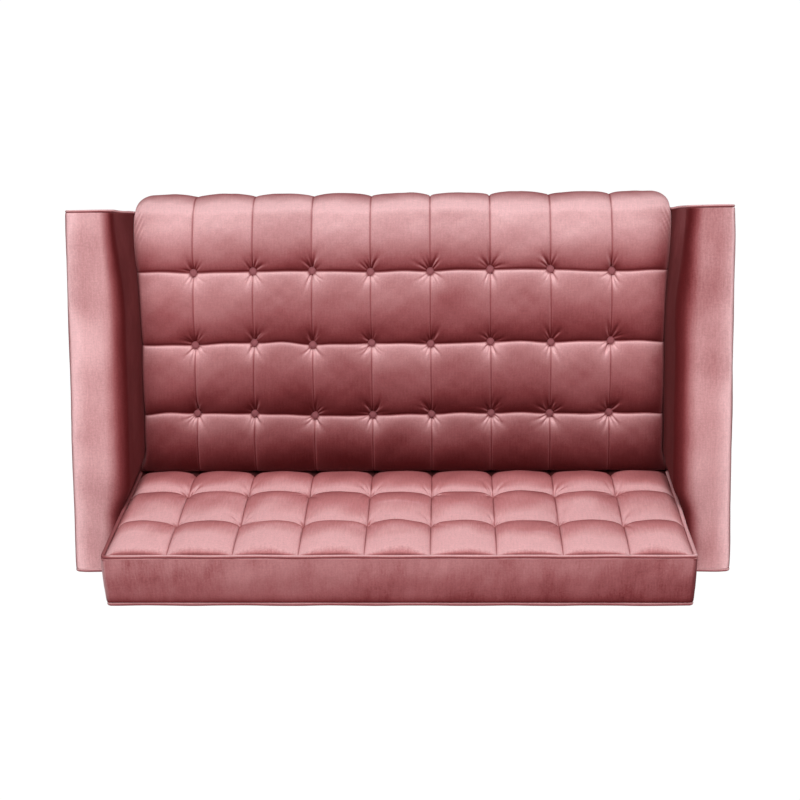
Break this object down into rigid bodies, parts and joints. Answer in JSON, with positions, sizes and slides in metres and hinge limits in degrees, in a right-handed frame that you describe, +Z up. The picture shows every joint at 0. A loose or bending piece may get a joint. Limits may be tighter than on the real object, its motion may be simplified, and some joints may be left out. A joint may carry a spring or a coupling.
{
  "type": "loveseat",
  "caption": "Two-seat upholstered loveseat with a button-tufted tight seat, tufted reclined back, piped slab arms and tapered wooden legs.",
  "frame": {"origin": "on the floor under the middle of the loveseat's overall width and depth", "axes": "+Z up, -Y towards the sitter's front, +X towards the sitter's left arm"},
  "size_m": [1.302, 0.7866, 0.8071],
  "materials": {
    "velvet": "dusty rose short-pile polyester velvet",
    "welt_velvet": "the same velvet, sewn round a cord on the bias",
    "button_velvet": "the same velvet over button blanks",
    "plywood": "raw plywood",
    "frame_hardwood": "raw planed hardwood",
    "leg_walnut": "dark stained satin lacquer",
    "spring_steel": "drawn spring wire",
    "deck_cloth": "grey felted deck cloth",
    "dust_cover": "black non-woven cloth"
  },
  "bodies": {
    "root": {"arm_board_left": "plywood", "arm_board_right": "plywood", "arm_cover_left": "velvet", "arm_cover_right": "velvet", "arm_front_panel_left": "velvet", "arm_front_panel_right": "velvet", "arm_front_welt_left": "welt_velvet", "arm_front_welt_right": "welt_velvet", "arm_rear_panel_left": "velvet", "arm_rear_panel_right": "velvet", "arm_rear_welt_left": "welt_velvet", "arm_rear_welt_right": "welt_velvet", "back_centre_upright": "frame_hardwood", "back_front_welt": "welt_velvet", "back_pad": "velvet", "back_post_left": "frame_hardwood", "back_post_right": "frame_hardwood", "back_rear_welt": "welt_velvet", "back_top_rail": "frame_hardwood", "corner_block_front_left": "frame_hardwood", "corner_block_front_right": "frame_hardwood", "corner_block_rear_left": "frame_hardwood", "corner_block_rear_right": "frame_hardwood", "deck_cloth": "deck_cloth", "dust_cover": "dust_cover", "leg_front_left": "leg_walnut", "leg_front_right": "leg_walnut", "leg_rear_left": "leg_walnut", "leg_rear_right": "leg_walnut", "outside_back": "velvet", "seat_button_1_1": "button_velvet", "seat_button_1_2": "button_velvet", "seat_button_1_3": "button_velvet", "seat_button_1_4": "button_velvet", "seat_button_1_5": "button_velvet", "seat_button_1_6": "button_velvet", "seat_button_1_7": "button_velvet", "seat_button_1_8": "button_velvet", "seat_button_2_1": "button_velvet", "seat_button_2_2": "button_velvet", "seat_button_2_3": "button_velvet", "seat_button_2_4": "button_velvet", "seat_button_2_5": "button_velvet", "seat_button_2_6": "button_velvet", "seat_button_2_7": "button_velvet", "seat_button_2_8": "button_velvet", "seat_button_3_1": "button_velvet", "seat_button_3_2": "button_velvet", "seat_button_3_3": "button_velvet", "seat_button_3_4": "button_velvet", "seat_button_3_5": "button_velvet", "seat_button_3_6": "button_velvet", "seat_button_3_7": "button_velvet", "seat_button_3_8": "button_velvet", "seat_centre_stretcher": "frame_hardwood", "seat_front_rail": "plywood", "seat_pad": "velvet", "seat_rear_rail": "plywood", "spring_deck": "spring_steel"}
  },
  "joints": []
}
